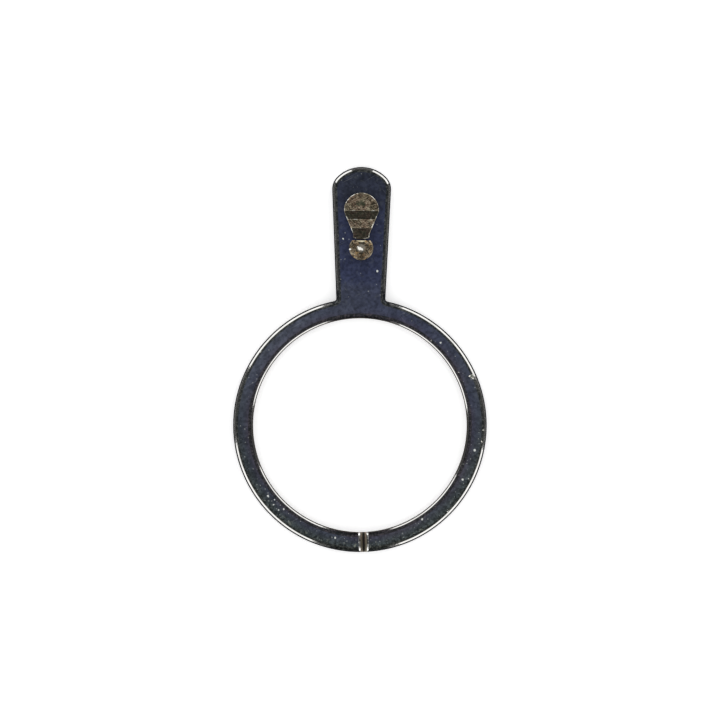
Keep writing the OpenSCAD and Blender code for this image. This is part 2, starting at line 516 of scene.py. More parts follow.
def heat_colours(paint):
    clouds = paint.noise(1.4, 3.0)
    heat = paint.math("ADD", paint.y, paint.times(clouds, 1.6))
    navy_patches = paint.step(paint.noise(1.9), 0.5, 0.64, 0, 0.35)
    color = paint.blend(navy_patches, SLATE, NAVY)
    color = paint.blend(paint.step(heat, 2.2, 3.2), color, NAVY)
    color = paint.blend(paint.step(heat, 3.8, 4.8), color, DARK_TIP)
    below_arm = paint.step(paint.y, ring_r, ring_r + 0.3, 1, 0)
    for azimuth, patch in RING_PATCHES:
        share = paint.step(paint.toward(azimuth), 0.6 * ring_r, ring_r, 0, 0.8)
        color = paint.blend(paint.times(share, below_arm), color, patch)
    outward = paint.step(paint.radius(), bore_r + 0.06, ring_r - 0.08)
    thin_oxide = paint.times(outward, paint.step(paint.y, -1.2, 1.0, 0.9, 0.12))
    thin_oxide = paint.times(thin_oxide, below_arm)
    color = paint.blend(thin_oxide, color, GREY_GREEN)
    beside_bore = paint.step(paint.radius(), bore_r + 0.04, bore_r + 0.18, 0.5, 0)
    plum_share = paint.times(beside_bore, paint.step(clouds, 0.35, 0.6))
    return paint.blend(plum_share, color, PLUM)


# %% [markdown]
# Years of handling have worn the oxide. It is mottled all over, and coarsely so at the foot of the
# ring, where grit has lain, with pale flecks along the outer edge. Bright specks show where a grain
# has gone through to the steel: a thin scatter, and two crowded patches. Two sets of hairlines
# cross the face.

# %% Wear of the face
FLECK = (0.170, 0.185, 0.160)
PALE_SPECK = (0.560, 0.580, 0.560)
GRIT = (
    # centre and reach of a crowded patch in millimetres, and the share of its cells with a speck
    ((-1.3, -1.23), 0.24, 0.6),
    ((1.6, -0.58), 0.16, 0.3),
)


def worn_face(paint, color, grain, scratches):
    color = paint.shaded(color, paint.noise(7), 0.86, 1.14)
    color = paint.shaded(color, grain, 0.72, 1.28)
    color = paint.blend(paint.times(scratches, 0.08), color, PALE_SPECK)

    low_down = paint.step(paint.y, -1.2, 0.6, 1, 0)
    outward = paint.step(paint.radius(), (ring_r + bore_r) / 2, ring_r - edge_w, 0.3, 1)
    gritty = paint.shaded(color, paint.noise(26, 3.0, distortion=0.5), 0.3, 1.75)
    color = paint.blend(paint.times(low_down, outward), color, gritty)
    flecks = paint.step(paint.noise(15, 3.0, distortion=0.6), 0.56, 0.7)
    flecks = paint.times(flecks, paint.step(paint.radius(), ring_r - 0.16, ring_r - 0.1))
    flecks = paint.times(flecks, paint.step(paint.y, -1.7, -0.9, 0.9, 0.1))
    color = paint.blend(flecks, color, FLECK)

    crowded = paint.step(paint.y, -1.4, 1.2, 0.45, 0.05)
    share = paint.times(crowded, 0.08)
    for centre, reach, crowd in GRIT:
        near = paint.step(paint.oval(centre, 0, reach, reach), 0.6, 1.1, crowd, 0)
        share = paint.either(share, near)
    color = paint.blend(paint.spots(11, 0.027, share), color, PALE_SPECK)
    small = paint.spots(16, 0.014, crowded)
    return paint.blend(paint.times(small, 0.28), color, PALE_SPECK)


# %% [markdown]
# The rounded edge was polished last and is nearly bare, so it throws back the lamps as a white
# line. Before it lies a dark strip where the round begins, which is painted shade mottled with
# olive and plum, and past it the wall is dull again. `tilt` tells them apart: it is 0 on the face,
# 0.5 at 45 degrees and 1 on the wall. The bright band is narrower in the bore than outside, so each
# has its own limits. The inside corners at the root of the arm were out of the polisher's reach and
# have stayed dark.

# %% The polished edge
ARM_ROOT_W = 0.772
EDGE_SHADE = (0.014, 0.016, 0.015)
EDGE_OLIVE = (0.078, 0.081, 0.074)
EDGE_PLUM = (0.062, 0.053, 0.060)
WALL_STEEL = (0.026, 0.027, 0.030)
BORE_STEEL = (0.085, 0.075, 0.068)
POLISHED = (0.450, 0.445, 0.430)
DARK_ROOT_X = (ARM_ROOT_W / 2 + 0.05, 0.55)
DARK_ROOT_Y = (2.1, 2.2)


def tilts(*degrees):
    """Angles from the face, as values of the attribute `tilt`."""
    return tuple(angle / 90 for angle in degrees)


def polished_band(paint, tilt, in_bore):
    outside = paint.between(tilt, tilts(22, 27), tilts(41, 47))
    inside = paint.between(tilt, tilts(26, 31), tilts(37, 40))
    beyond_root = paint.step(paint.math("ABSOLUTE", paint.x), *DARK_ROOT_X)
    beyond_root = paint.either(beyond_root, paint.step(paint.y, *DARK_ROOT_Y))
    return paint.times(paint.mix(in_bore, outside, inside), beyond_root)


def edge_wear_and_shade(paint, color, tilt, edge, in_bore, rubbed):
    """Lay on the dark strip of painted shade, the bright band and the dark wall, in this order."""
    mottles = paint.step(paint.noise(34, 4.0), 0.42, 0.68)
    shade_strip = paint.blend(mottles, EDGE_SHADE, paint.blend(in_bore, EDGE_OLIVE, EDGE_PLUM))
    # The strip where the round begins is painted shade, mottled with olive or plum.
    color = paint.blend(paint.times(edge, 0.85), color, shade_strip)
    even = paint.step(paint.noise(4, 3.0), 0.3, 0.55, 0.8, 1.0)
    color = paint.blend(paint.times(rubbed, even), color, POLISHED)
    past_band = paint.mix(
        in_bore, paint.step(tilt, *tilts(43, 49)), paint.step(tilt, *tilts(37, 40))
    )
    return paint.blend(past_band, color, paint.blend(in_bore, WALL_STEEL, BORE_STEEL))


# %% [markdown]
# The back is ground flat and blued, with the marks of the stone all in one direction. It faces
# down, where `tilt` is 1 as on a wall, so it is found by its height. The oxide also takes most of
# the glare that bare metal has at a low angle, which the Specular Tint of a metal sets.

# %% Blued steel
OXIDE_TINT = (0.15, 0.15, 0.15, 1)
BACK_NAVY = (0.034, 0.040, 0.062)
BACK_Z = (0.0005, 0.003)
POLISHED_ROUGHNESS = 0.09
GRAIN_DEPTH = 0.0006


def paint_blued_steel():
    paint = Paint("blued_steel")
    paint.shader["Specular Tint"].default_value = OXIDE_TINT
    tilt = paint.attribute("tilt")
    # `edge` marks where the round begins: the strip that gets painted shade.
    edge = paint.step(tilt, *tilts(0.2, 5))
    grain = paint.noise(22, 3.0)
    lines = paint.either(
        paint.hairlines(28, 0.5, 0.02, 0.71), paint.hairlines(-51, 0.35, 0.018, 0.72)
    )
    scratches = paint.times(lines, paint.math("SUBTRACT", 1.0, edge))
    color = worn_face(paint, heat_colours(paint), grain, scratches)

    in_bore = paint.step(paint.radius(), bore_r + edge_w, bore_r + 1.3 * edge_w, 1, 0)
    rubbed = polished_band(paint, tilt, in_bore)
    color = edge_wear_and_shade(paint, color, tilt, edge, in_bore, rubbed)

    ground = paint.noise(1, 2.0, paint.stretched(90, 0.5, 0.018))
    on_back = paint.step(paint.z, *BACK_Z, 1, 0)
    color = paint.blend(on_back, color, paint.shaded(BACK_NAVY, ground, 0.6, 1.4))

    roughness = paint.step(grain, 0.3, 0.7, 0.27, 0.40)
    roughness = paint.mix(rubbed, roughness, POLISHED_ROUGHNESS)
    return paint.finish(color, roughness, paint.math("ADD", grain, scratches), GRAIN_DEPTH)


blued_steel = paint_blued_steel()

# %% [markdown]
# ## Bare steel
#
# The saw cut was made after the blueing, so its walls are bare. The file has polished the lips, and
# their ends are brightest, a painted highlight over that polish. A brown stain has settled on the
# flanks. The stain is no metal any more, so the Metallic value falls there. The slit between the
# walls is painted nearly black, which is painted shade. The marks of the file run along the cut,
# which a noise stretched in that direction gives. A chip is bare too, with a darker floor.

# %% Bare steel of the cut and the chips
SPLIT_TURN = 2.2
SPLIT_GAP = 0.018
GROOVE_W = 0.11
STEEL_LIGHT = (0.92, 0.91, 0.87)
STEEL_STAIN = (0.25, 0.19, 0.15)
STEEL_OLIVE = (0.20, 0.185, 0.135)
SLIT_SHADE = (0.020, 0.014, 0.009)
CHIP_GREEN = (0.120, 0.135, 0.115)
MARK_DEPTH = 0.001


def paint_cut_steel():
    paint = Paint("cut_steel")
    marks = paint.noise(1, 2.0, paint.stretched(90 + SPLIT_TURN, 0.4, 0.028))
    radius = paint.radius()
    # The lips are brightest near the bore and near the outside: a painted highlight over the polish.
    near_bore = paint.between(
        radius, (bore_r + 0.010, bore_r + 0.018), (bore_r + 0.040, bore_r + 0.055)
    )
    near_outside = paint.between(
        radius, (ring_r - 0.090, ring_r - 0.065), (ring_r - 0.030, ring_r - 0.018)
    )
    dots = paint.step(paint.noise(17), 0.45, 0.6, 0.12, 0.5)
    light = paint.either(dots, paint.either(near_bore, near_outside))
    lip_polish_and_highlight = paint.dimmed(STEEL_LIGHT, light)
    from_split = paint.math("ABSOLUTE", paint.toward(SPLIT_TURN))
    flank = paint.step(from_split, 0.5 * GROOVE_W - 0.010, 0.5 * GROOVE_W - 0.002, 1, 0)
    stain = paint.blend(paint.step(paint.noise(9), 0.4, 0.6), STEEL_STAIN, STEEL_OLIVE)
    color = paint.blend(flank, lip_polish_and_highlight, stain)
    color = paint.shaded(color, marks, 0.45, 1.5)
    # Painted shade: the slit is painted nearly black.
    deep = paint.step(from_split, 0.5 * SPLIT_GAP, 0.5 * SPLIT_GAP + 0.006, 1, 0)
    color = paint.blend(deep, color, SLIT_SHADE)
    paint.link("Metallic", paint.math("SUBTRACT", 1.0, paint.times(flank, 0.8)))
    return paint.finish(color, paint.step(flank, 0, 1, 0.3, 0.6), marks, MARK_DEPTH)


def paint_chip(name, tone):
    paint = Paint(name)
    marks = paint.noise(40)
    color = paint.shaded(tone, marks, 0.8, 1.2)
    return paint.finish(color, paint.step(marks, 0.3, 0.7, 0.3, 0.5), marks, MARK_DEPTH)


cut_steel = paint_cut_steel()
chip_side = paint_chip("chip_side_steel", STEEL_LIGHT)
chip_floor = paint_chip("chip_floor_steel", CHIP_GREEN)

# %% [markdown]
# ## Tarnished brass
#
# The boot and the pin are the same old brass with different wear. The mottling is one fine noise
# pushed to high contrast, dark where it is low and a glint where it is high, with two sets of
# short scratches over it.
#
# The land of the boot is olive, with a breath of verdigris beside the slot. The slot and the foot
# lie deeper, where nothing rubs them, and are painted nearly black: tarnish, and painted shade in
# the recesses. The corners are rubbed pale where `worn` says so, with a few painted white glints.

# %% Brass of the boot
OLIVE = (0.125, 0.106, 0.070)
OLIVE_RED = (0.125, 0.085, 0.060)
BRASS_DARK = (0.030, 0.025, 0.017)
BRASS_PALE = (0.400, 0.350, 0.255)
TARNISH_AND_SHADE = (0.023, 0.024, 0.018)
RED_TARNISH_AND_SHADE = (0.037, 0.027, 0.022)
VERDIGRIS = (0.028, 0.040, 0.024)
VERDIGRIS_AT = (-0.02, 3.478)
RIM_GLINT = (0.800, 0.790, 0.730)
PIT_DEPTH = 0.003


def mottled_brass(paint, tone, glint, per_mm):
    """Tone, darkened in a fine net of pits and scratches, with glints between them."""
    pits = paint.noise(per_mm, 3.0, distortion=0.8)
    scratches = paint.either(
        paint.hairlines(24, 0.15, 0.016, 0.58), paint.hairlines(-48, 0.12, 0.014, 0.6)
    )
    color = paint.blend(paint.step(pits, 0.40, 0.56), BRASS_DARK, tone)
    color = paint.blend(paint.step(pits, 0.58, 0.72), color, glint)
    color = paint.blend(paint.times(scratches, 0.4), color, BRASS_PALE)
    return color, pits


def paint_boot_brass():
    paint = Paint("boot_brass")
    tone = paint.blend(paint.step(paint.noise(5, 1.0), 0.4, 0.6), OLIVE, OLIVE_RED)
    color, pits = mottled_brass(paint, tone, BRASS_PALE, 32)
    # Everything below the land is darkened: tarnish, and painted shade in the slot and on the foot.
    deep = paint.step(paint.z, boot_high.z - 0.06, boot_high.z - 0.02, 0.88, 0)
    tarnish_and_shade = paint.blend(paint.step(paint.noise(13), 0.4, 0.6), TARNISH_AND_SHADE, RED_TARNISH_AND_SHADE)
    color = paint.blend(deep, color, paint.shaded(tarnish_and_shade, pits, 0.7, 1.3))
    ragged = paint.step(paint.noise(22), 0.3, 0.7, 0, 0.8)
    green = paint.math("ADD", paint.oval(VERDIGRIS_AT, 0, 0.085, 0.055), ragged)
    color = paint.blend(paint.step(green, 0.9, 1.3, 0.7, 0), color, VERDIGRIS)
    worn = paint.attribute("worn")
    broken = paint.step(paint.noise(11), 0.4, 0.6, 0.1, 0.7)
    color = paint.blend(paint.times(worn, broken), color, BRASS_PALE)
    # Painted highlight: a few white glints on the worn corners.
    glints = paint.step(paint.noise(19), 0.54, 0.60)
    color = paint.blend(paint.times(worn, glints), color, RIM_GLINT)
    return paint.finish(color, paint.step(pits, 0.3, 0.7, 0.5, 0.3), pits, PIT_DEPTH)


boot_brass = paint_boot_brass()

# %% [markdown]
# The pin keeps a copper tone with golden glints, and its rounded rim is rubbed a little. Towards
# the middle of the dome a grey painted sheen surrounds a bright, ragged painted highlight, and a
# small painted highlight sits near the rim. The corner towards the boot is filed: bare brass, with
# the marks of the file along it.

# %% Brass of the pin
COPPER = (0.105, 0.073, 0.046)
GOLD = (0.330, 0.215, 0.085)
FILED_PALE = (0.800, 0.740, 0.560)
CROWN_HIGHLIGHT = (0.900, 0.880, 0.820)
CROWN_SHEEN = (0.200, 0.190, 0.165)
CROWN_HIGHLIGHT_AT = (-0.018, pin_low.y + 0.178)
RIM_HIGHLIGHT_AT = (-0.180, pin_low.y + 0.170)
FILE_DEPTH = 0.002


def paint_pin_brass():
    paint = Paint("pin_brass")
    tilt = paint.attribute("tilt")
    color, pits = mottled_brass(paint, COPPER, GOLD, 26)
    rub = paint.between(tilt, tilts(30, 40), tilts(60, 75))
    broken = paint.step(paint.noise(12), 0.4, 0.6, 0.0, 0.4)
    color = paint.blend(paint.times(rub, broken), color, BRASS_PALE)
    on_dome = paint.step(paint.z, plate_t, pin_high.z)
    # Painted sheen: the dome turns grey towards its middle.
    grey = paint.times(on_dome, paint.step(tilt, *tilts(6, 16), 0.7, 0))
    color = paint.blend(grey, color, CROWN_SHEEN)
    # Painted highlight: a bright, ragged oval on the crown of the dome.
    ragged = paint.step(paint.noise(26, 1.0), 0.3, 0.7, -0.35, 0.35)
    crown_highlight = paint.math("ADD", paint.oval(CROWN_HIGHLIGHT_AT, -27, 0.046, 0.021), ragged)
    crown_highlight = paint.step(crown_highlight, 0.8, 1.2, 1, 0)
    color = paint.blend(paint.times(crown_highlight, on_dome), color, CROWN_HIGHLIGHT)
    # Painted highlight: a small bright spot near the rim.
    rim_highlight = paint.step(paint.oval(RIM_HIGHLIGHT_AT, 0, 0.026, 0.015), 0.7, 1.1, 1, 0)
    color = paint.blend(paint.times(rim_highlight, on_dome), color, CROWN_HIGHLIGHT)
    return paint.finish(color, paint.step(pits, 0.3, 0.7, 0.5, 0.3), pits, PIT_DEPTH)


def paint_filed_brass():
    paint = Paint("filed_brass")
    marks = paint.noise(1, 2.0, paint.stretched(0, 0.1, 0.012))
    color = paint.blend(paint.step(marks, 0.3, 0.55), GOLD, FILED_PALE)
    return paint.finish(color, paint.step(marks, 0.3, 0.7, 0.7, 0.5), marks, FILE_DEPTH)


pin_brass = paint_pin_brass()
filed_brass = paint_filed_brass()

# %% [markdown]
# ## The index plate
#
# The plate is one piece of steel: the ring, the arm and its round tip. Half of the outline is
# drawn from the bottom of the ring, round a small fillet, along the tapered side, round the
# shoulder and the tip, and is then mirrored.

# %% Outline of the plate
ARM_SHOULDER_W = 0.936
ARM_TIP_R = 0.545
SHOULDER_R = 0.27
ROOT_FILLET = 0.04

tip_centre = Vector((0, arm_reach - ARM_TIP_R))
root = Vector((ARM_ROOT_W / 2, math.sqrt(ring_r**2 - (ARM_ROOT_W / 2) ** 2)))
shoulder = tip_centre + Vector(
    (ARM_SHOULDER_W / 2, math.sqrt(ARM_TIP_R**2 - (ARM_SHOULDER_W / 2) ** 2))
)
side_along = (shoulder - root).normalized()
side_across = Vector((side_along.y, -side_along.x))


def heading(vector):
    """The azimuth of a direction in degrees, from +X towards +Y."""
    return math.degrees(math.atan2(vector.y, vector.x))


def beside_arm(offset, centre, distance):
    """Centre of a round that lies off from the arm's side, at a distance from another centre."""
    start = root + offset * side_across
    to_start = start - centre
    along = to_start.dot(side_along)
    reach = math.sqrt(along**2 - to_start.length_squared + distance**2)
    return start + (reach - along) * side_along


fillet_centre = beside_arm(ROOT_FILLET, Vector((0, 0)), ring_r + ROOT_FILLET)
shoulder_centre = beside_arm(-SHOULDER_R, tip_centre, ARM_TIP_R - SHOULDER_R)
side_heading = heading(side_across)
shoulder_end = heading(shoulder_centre - tip_centre)


def draw_outline(inset):
    """The plate's outer outline, drawn some distance inside the real one."""
    bm = bmesh.new()
    pen = pen_down(bm, (0, inset - ring_r))
    pen = pen_arc(bm, pen, (0, 0), heading(fillet_centre) + 90, 2)
    pen = pen_arc(bm, pen, fillet_centre, side_heading - heading(fillet_centre), 10)
    pen = pen_line(bm, pen, shoulder_centre + (SHOULDER_R - inset) * side_across)
    pen = pen_arc(bm, pen, shoulder_centre, shoulder_end - side_heading, 4)
    pen_arc(bm, pen, tip_centre, 90 - shoulder_end, 3)
    mirror_right_half(bm)
    return bm


def draw_bore(inset):
    bm = bmesh.new()
    bmesh.ops.create_circle(bm, radius=bore_r + inset, segments=180)
    return bm


print(f"the arm's side leans out by {90 - heading(side_along):.2f} degrees")

# %% [markdown]
# The edge on the hairspring side was rounded and polished by hand. More was taken off the face
# than off the wall, so the round has a wide radius above and a tight one where it meets the wall.
# In the bore nearly all of it is wide.
#
# A bevel would give a single radius. Here the same outline is drawn again and again, each time a
# little further in and a little higher, and neighbouring outlines are bridged. Since every arc
# keeps its centre and its number of steps, the bridges are clean strips that follow the edge.

# %% Section of the rounded edge
MID_TILT = math.radians(45)
EDGE_STEPS = 8
TIGHT_OUTSIDE = 0.25
TIGHT_IN_BORE = 0.08


def edge_radii(tight_share):
    """Radii of the tight and of the wide part of the round, for a share of the edge's width."""
    tight_r = tight_share * edge_w / (1 - math.sin(MID_TILT))
    wide_r = (1 - tight_share) * edge_w / math.sin(MID_TILT)
    return tight_r, wide_r


def edge_insets(tight_share):
    """Distances from the wall at which an outline is drawn, with even steps of tilt between."""
    tight_r, wide_r = edge_radii(tight_share)
    insets = []
    for step in range(EDGE_STEPS):
        tilt = math.pi / 2 + (MID_TILT - math.pi / 2) * step / EDGE_STEPS
        insets.append(tight_r * (1 - math.sin(tilt)))
    for step in range(EDGE_STEPS + 1):
        tilt = MID_TILT * (1 - step / EDGE_STEPS)
        insets.append(edge_w - wide_r * math.sin(tilt))
    return insets


def round_height(tight_share, inset):
    """Height of the rounded surface at some distance from the wall."""
    tight_r, wide_r = edge_radii(tight_share)
    # The surface is so steep at the wall that the tiniest error in the distance would move it
    inset = min(max(round(inset, 6), 0), edge_w)
    if inset > tight_share * edge_w:
        return plate_t - wide_r + math.sqrt(wide_r**2 - (edge_w - inset) ** 2)
    meeting_z = plate_t - wide_r * (1 - math.cos(MID_TILT))
    wall_top = meeting_z - tight_r * math.cos(MID_TILT)
    return wall_top + math.sqrt(tight_r**2 - (tight_r - inset) ** 2)


def ring_height(radius):
    """Height of the ring's surface at some distance from its axis."""
    beside_bore = round_height(TIGHT_IN_BORE, radius - bore_r)
    beside_outside = round_height(TIGHT_OUTSIDE, ring_r - radius)
    return min(beside_bore, beside_outside)


for place, share in (("outside", TIGHT_OUTSIDE), ("in the bore", TIGHT_IN_BORE)):
    tight_r, wide_r = edge_radii(share)
    wall_top = round_height(share, 0)
    print(f"round {place}: radii {tight_r:.3f} and {wide_r:.3f}, wall up to {wall_top:.3f}")

# %% [markdown]
# Bridging needs the outlines as loops of one mesh. `lay` adds a drawn outline at its height and
# gives back its edges, and each loop is bridged to the next. The back and the face are still open
# then, and each is filled flat.

# %% The plate with its rounded edges
def lay(bm, outline, height):
    """Add a drawn outline to the piece at a height. Its edges are given back."""
    bmesh.ops.translate(outline, verts=outline.verts, vec=UP * height)
    drawn = bpy.data.meshes.new("outline")
    outline.to_mesh(drawn)
    outline.free()
    before = len(bm.edges)
    bm.from_mesh(drawn)
    bpy.data.meshes.remove(drawn)
    bm.edges.ensure_lookup_table()
    return bm.edges[before:]


def cap(bm, height):
    """Fill the open rims that lie at a height."""
    rims = [
        edge for edge in bm.edges
        if edge.is_boundary and all(abs(vert.co.z - height) < 1e-6 for vert in edge.verts)
    ]
    bmesh.ops.triangle_fill(bm, use_beauty=True, edges=rims, normal=UP)


plate_bm = bmesh.new()
for draw, share in ((draw_outline, TIGHT_OUTSIDE), (draw_bore, TIGHT_IN_BORE)):
    rims = [lay(plate_bm, draw(0), 0)]
    for inset in edge_insets(share):
        rims.append(lay(plate_bm, draw(inset), round_height(share, inset)))
    for lower, upper in zip(rims, rims[1:]):
        bmesh.ops.bridge_loops(plate_bm, edges=lower + upper)
cap(plate_bm, 0)
cap(plate_bm, plate_t)
bmesh.ops.recalc_face_normals(plate_bm, faces=plate_bm.faces)
print(f"plate before the cuts: {len(plate_bm.faces)} faces")
index_plate = solid("blued_index_plate", plate_bm, blued_steel)

# %% [markdown]
# The split is sawn right through, and its upper edges are opened to a V with rounded lips, so that
# the ring springs without a burr. The cutter has that section and is drawn with the same pen. The
# saw leaned a little, so no paper shows through the slit from straight above.
#
# A straight V would run out to nothing where the edge rounds away. The file followed the round, so
# the cutter is divided along its length, and its lips sink towards both rims as the surface does.

# %% Saw the split
SPLIT_LEAN = 10
GROOVE_DEPTH = 0.13
LIP_ROUND = 0.035
# How far a cutter runs past the face that it opens
PAST = 0.05


def draw_split(bm):
    """Draw the saw's slit and the file's groove, seen along the cut, and lean the slit."""
    floor_z = plate_t - GROOVE_DEPTH
    flank = Vector(((GROOVE_W - SPLIT_GAP) / 2, GROOVE_DEPTH))
    turn = heading(flank)
    lip_x = GROOVE_W / 2 + LIP_ROUND * math.tan(math.radians(turn / 2))
    lip_centre = Vector((lip_x, plate_t - LIP_ROUND))
    on_flank = lip_centre + LIP_ROUND * Vector((-flank.y, flank.x)).normalized()
    pen = pen_down(bm, (0, -PAST))
    pen = pen_line(bm, pen, (SPLIT_GAP / 2, -PAST), (SPLIT_GAP / 2, floor_z), on_flank)
    pen = pen_arc(bm, pen, lip_centre, -turn, 8)
    pen_line(bm, pen, (lip_x, plate_t + PAST), (0, plate_t + PAST))
    mirror_right_half(bm)
    foot = [vert for vert in bm.verts if vert.co.y < 0]
    lean = (floor_z + PAST) * math.tan(math.radians(SPLIT_LEAN))
    bmesh.ops.translate(bm, verts=foot, vec=(lean, 0, 0))


def sink_with_edge(cutter):
    """Lower the lips of the cutter by as much as the ring's surface is rounded away."""
    band = ring_r - bore_r
    for share, rim, inward in ((TIGHT_IN_BORE, PAST, 1), (TIGHT_OUTSIDE, PAST + band, -1)):
        for inset in edge_insets(share)[::2]:
            bmesh.ops.bisect_plane(
                cutter, geom=cutter.verts[:] + cutter.edges[:] + cutter.faces[:],
                plane_co=UP * (rim + inward * inset), plane_no=UP, dist=TOUCHING,
            )
    for vert in cutter.verts:
        if vert.co.y > plate_t - GROOVE_DEPTH + 0.001:
            vert.co.y -= plate_t - ring_height(bore_r + vert.co.z - PAST)


split_bm = bmesh.new()
draw_split(split_bm)
raise_outline(split_bm, ring_r - bore_r + 2 * PAST)
sink_with_edge(split_bm)
upright = Matrix.Rotation(math.radians(SPLIT_TURN), 4, "Z")
upright = upright @ Matrix.Translation((0, -bore_r + PAST, 0))
upright = upright @ Matrix.Rotation(math.radians(90), 4, "X")
bmesh.ops.transform(split_bm, matrix=upright, verts=split_bm.verts)
cut(index_plate, split_bm, cut_steel)
print(f"after the split: {len(index_plate.data.polygons)} faces")

# %% [markdown]
# The plate has been knocked in its life. The biggest mark is a three-cornered chip on the right of
# the ring. Each chip is a shallow pit, cut by a cone of three sides. Its sloping sides catch the
# light as the real ones do, and its floor has a darker material.

# %% Chip the edge
CHIPS = (
    # azimuth, distance from the middle of the ring, size, and where its point is turned
    (24.1, 1.926, 0.055, 180),
    (-1.8, 1.950, 0.018, 60),
    (-7.3, 1.945, 0.020, 15),
    (50.2, 1.745, 0.014, 200),
    (28.8, 1.760, 0.014, 100),
    (144.0, 1.950, 0.014, 30),
    (-44.0, 1.945, 0.016, 80),
)
# The floor's size and the depth of a chip, as shares of its size
CHIP_FLOOR = 0.5
CHIP_DEPTH = 0.4

for azimuth, distance, size, turn in CHIPS:
    chip = bmesh.new()
    bmesh.ops.create_cone(
        chip, cap_ends=True, segments=3, radius1=CHIP_FLOOR * size,
        radius2=(2 - CHIP_FLOOR) * size, depth=2 * CHIP_DEPTH * size,
    )
    for face in chip.faces:
        face.material_index = int(face.normal.z < -0.9)
    around = Matrix.Rotation(math.radians(azimuth), 4, "Z")
    outward = Matrix.Translation((distance, 0, ring_height(distance)))
    point = Matrix.Rotation(math.radians(turn - 90 - azimuth), 4, "Z")
    bmesh.ops.transform(chip, matrix=around @ outward @ point, verts=chip.verts)
    cut(index_plate, chip, chip_side, chip_floor)
print(f"{len(CHIPS)} chips: {len(index_plate.data.polygons)} faces")

# %% [markdown]
# Two holes take the shank of the boot and the tail of the pin. Both are countersunk at the back,
# where the brass is riveted over and filed flush. A cutter turned on the lathe gives the cone and
# the straight part at once.

# %% Bore the two holes
PASSAGE_W = 0.189
PIN_FLAT = 0.121
SHANK_R = 0.15
SHANK_RIVET_R = 0.22
SHANK_RIVET_H = 0.08
SHANK_CLEAR = 0.012
TAIL_R = 0.1
TAIL_RIVET_R = 0.145
TAIL_RIVET_H = 0.05

pin_r = (pin_high.x - pin_low.x) / 2
pin_y = spring_r - PASSAGE_W / 2 - PIN_FLAT


def riveted_hole(y, shank_r, rivet_r, rivet_h, clear):
    flare = PAST * (rivet_r - shank_r) / rivet_h

    def draw_section(bm):
        pen_line(
            bm, pen_down(bm, (0, -PAST)),
            (rivet_r + clear + flare, -PAST), (shank_r + clear, rivet_h),
            (shank_r + clear, plate_t + PAST), (0, plate_t + PAST),
        )

    bore = lathe(draw_section)
    bmesh.ops.translate(bore, verts=bore.verts, vec=(0, y, 0))
    return bore


shank_hole = riveted_hole(boot_y, SHANK_R, SHANK_RIVET_R, SHANK_RIVET_H, SHANK_CLEAR)
tail_hole = riveted_hole(pin_y, TAIL_R, TAIL_RIVET_R, TAIL_RIVET_H, 0)
for hole in (shank_hole, tail_hole):
    cut(index_plate, hole, blued_steel)
finish_piece(index_plate, "index", "index_plate")

# %% [markdown]
# ## The boot
#
# The boot, or key, closes the passage of the hairspring. It is turned from brass rod: a round
# head with a screwdriver slot, cheeks milled down to a narrow foot, and a shank that turns in the
# plate. Seen from above, head, cheeks and foot are one outline, so the pen draws them in one go
# about the boot's own axis, and the piece is moved to its place at the end.

# %% Outline of the head and the foot
CHEEK_W = 0.45
CHEEK_OFFSET = 0.06
FOOT_W = 0.252
NECK_OFFSET = 0.3
SLOT_W = 0.126

head_r = (boot_high.x - boot_low.x) / 2
head_offset = boot_high.y - boot_y - head_r
wall_offset = boot_y - (spring_r + PASSAGE_W / 2)
foot_reach = boot_y - boot_low.y
boot_top = boot_high.z
cheek_start = Vector((CHEEK_W / 2, -CHEEK_OFFSET))
neck = Vector((FOOT_W / 2, -NECK_OFFSET))
cheek_along = (neck - cheek_start).normalized()


def draw_boot(bm):
    """Round the head, along the cheek to the neck, down the foot and round its tip."""
    centre = Vector((0, head_offset))
    to_start = cheek_start - centre
    along = to_start.dot(cheek_along)
    reach = -along - math.sqrt(along**2 - to_start.length_squared + head_r**2)
    meeting = cheek_start + reach * cheek_along
    tip = Vector((FOOT_W / 2, -math.sqrt(foot_reach**2 - (FOOT_W / 2) ** 2)))
    slot_turn = math.degrees(math.asin((SLOT_W / 2 - head_offset) / head_r))
    meeting_turn = heading(meeting - centre)
    pen = pen_down(bm, (0, head_offset + head_r))
    pen = pen_arc(bm, pen, centre, slot_turn - 90, 4)
    pen = pen_arc(bm, pen, centre, meeting_turn - slot_turn, 4)
    pen = pen_line(bm, pen, neck, tip)
    pen_arc(bm, pen, (0, 0), -90 - heading(tip), 3)
    mirror_right_half(bm)


print(f"head {2 * head_r:.3f} mm wide, foot {foot_reach:.3f} mm from the axis")

# %% [markdown]
# Now the blank is raised and milled: the opening for the hairspring under the foot, the step down
# to the foot, and the slot. Boxes cut them, because a mill leaves flat floors and square walls. The
# shank is turned and joined on. The corners are softened only above the seat, which has to fit.

# %% Raise the blank and mill it
HEAD_CLEAR = 0.01
PASSAGE_H = 0.21
FOOT_STEP = 0.07
SLOT_DEPTH = 0.11
CORNER = 0.01

boot_bm = bmesh.new()
draw_boot(boot_bm)
raise_outline(boot_bm, boot_top - plate_t - HEAD_CLEAR)
bmesh.ops.translate(boot_bm, verts=boot_bm.verts, vec=UP * (plate_t + HEAD_CLEAR))
boot = solid("brass_boot", boot_bm, boot_brass)


def mill(y_range, z_range):
    """Take away everything between two distances from the axis and two heights."""
    low, high = zip(y_range, z_range)
    cut(boot, box((-2 * head_r, *low), (2 * head_r, *high)), boot_brass)


past_foot = -foot_reach - PAST
mill((past_foot, -wall_offset), (0, plate_t + PASSAGE_H))
mill((past_foot, -wall_offset), (boot_top - FOOT_STEP, boot_top + PAST))
mill((-SLOT_W / 2, SLOT_W / 2), (boot_top - SLOT_DEPTH, boot_top + PAST))

shank_top = plate_t + 2 * HEAD_CLEAR


